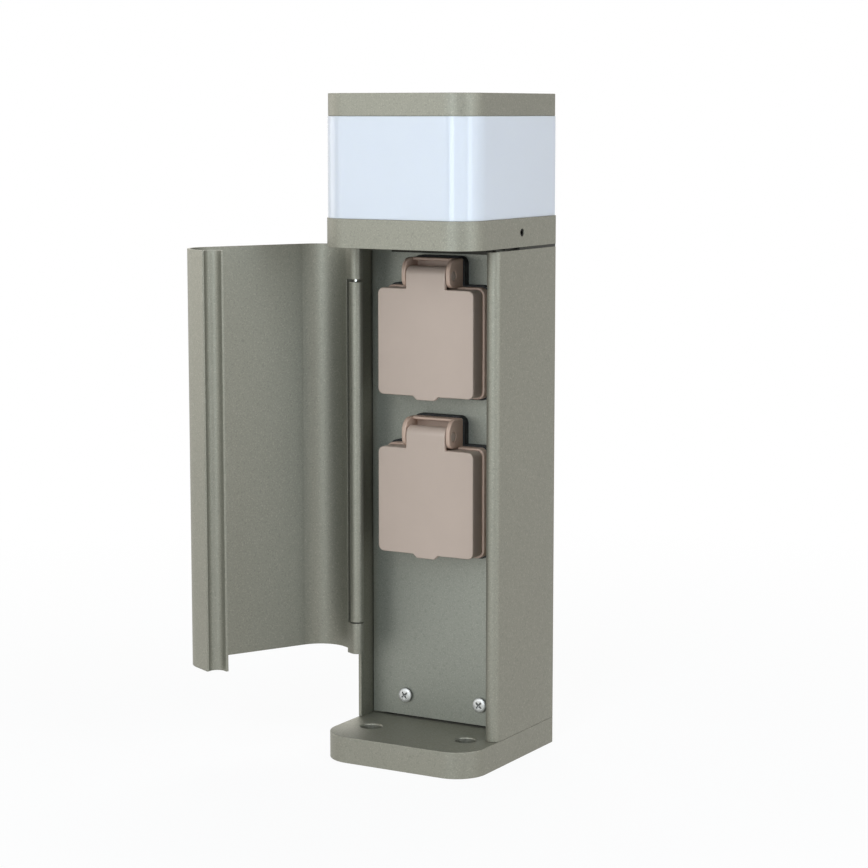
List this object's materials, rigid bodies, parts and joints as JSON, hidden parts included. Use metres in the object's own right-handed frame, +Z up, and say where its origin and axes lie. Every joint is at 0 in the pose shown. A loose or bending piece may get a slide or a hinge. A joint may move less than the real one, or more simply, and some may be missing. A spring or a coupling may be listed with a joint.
{
  "type": "garden lamp post with sockets",
  "caption": "Short rounded-square garden post with an opal lamp head and a hinged door over flap-lid power sockets.",
  "frame": {"origin": "centre of the base plate's underside", "axes": "+Z up the post, -Y out of the front with the door, +X to the right when facing the front"},
  "size_m": [0.1498, 0.1335, 0.342],
  "materials": {
    "coated_metal": "powder coating, satin, grey with a little olive",
    "coated_panel": "powder coating, satin, grey-green",
    "taupe_plastic": "fine-grained taupe",
    "black_plastic": "black",
    "cream_plastic": "cream",
    "black_rubber": "black, soft",
    "zinc_steel": "zinc-plated, bright",
    "brass": "bare",
    "opal_plastic": "opal white, glossy",
    "bare_aluminium": "bare",
    "white_board": "white lacquer",
    "yellow_chip": "yellow phosphor"
  },
  "bodies": {
    "post": {"base_plate": "coated_metal", "column": "coated_metal", "column_screws": "zinc_steel", "cable_gland": "black_plastic", "gland_nut": "black_plastic", "panel_bracket": "zinc_steel", "bracket_screws": "zinc_steel", "socket_panel": "coated_panel", "panel_screws": "zinc_steel", "terminal_block": "cream_plastic", "terminal_screws": "brass", "earth_stud": "brass", "upper_hinge_pin": "zinc_steel", "lower_hinge_pin": "zinc_steel", "upper_gasket": "black_rubber", "upper_frame": "taupe_plastic", "upper_socket_cup": "taupe_plastic", "upper_socket_block": "black_plastic", "upper_contacts": "brass", "upper_yoke": "zinc_steel", "upper_socket_screws": "zinc_steel", "upper_lid_pin": "zinc_steel", "upper_lid_spring": "zinc_steel", "lower_gasket": "black_rubber", "lower_frame": "taupe_plastic", "lower_socket_cup": "taupe_plastic", "lower_socket_block": "black_plastic", "lower_contacts": "brass", "lower_yoke": "zinc_steel", "lower_socket_screws": "zinc_steel", "lower_lid_pin": "zinc_steel", "lower_lid_spring": "zinc_steel", "head_plate": "coated_metal", "head_screws": "zinc_steel", "collar": "coated_metal", "set_screws": "zinc_steel", "lower_seal": "black_rubber", "diffuser": "opal_plastic", "upper_seal": "black_rubber", "top_cap": "coated_metal", "tie_screw": "zinc_steel", "heat_block": "bare_aluminium", "led_board": "white_board", "led_chips": "yellow_chip", "led_driver": "cream_plastic"},
    "door": {"door": "coated_metal"},
    "upper_lid": {"upper_lid": "taupe_plastic", "upper_lid_seal": "black_rubber"},
    "lower_lid": {"lower_lid": "taupe_plastic", "lower_lid_seal": "black_rubber"},
    "upper_shutter": {"upper_shutter": "cream_plastic"},
    "lower_shutter": {"lower_shutter": "cream_plastic"}
  },
  "joints": [
    {"name": "door_hinge", "type": "hinge", "parent": "post", "child": "door", "pos_m": [-0.0415, -0.0125, 0.15715], "axis": [0, 0, -1], "range_deg": [-117, 3]},
    {"name": "upper_lid_hinge", "type": "hinge", "parent": "post", "child": "upper_lid", "pos_m": [0, -0.008, 0.2503], "axis": [-1, 0, 0], "range_deg": [0, 100], "stiffness_Nm_per_rad": 0.01, "springref_deg": -57.3},
    {"name": "lower_lid_hinge", "type": "hinge", "parent": "post", "child": "lower_lid", "pos_m": [0, -0.008, 0.1681], "axis": [-1, 0, 0], "range_deg": [0, 100], "stiffness_Nm_per_rad": 0.01, "springref_deg": -57.3},
    {"name": "upper_shutter_turn", "type": "hinge", "parent": "post", "child": "upper_shutter", "pos_m": [0, 0.019, 0.2159], "axis": [0, 1, 0], "range_deg": [0, 40], "stiffness_Nm_per_rad": 0.002, "springref_deg": -17.19},
    {"name": "lower_shutter_turn", "type": "hinge", "parent": "post", "child": "lower_shutter", "pos_m": [0, 0.019, 0.1337], "axis": [0, 1, 0], "range_deg": [0, 40], "stiffness_Nm_per_rad": 0.002, "springref_deg": -17.19}
  ]
}
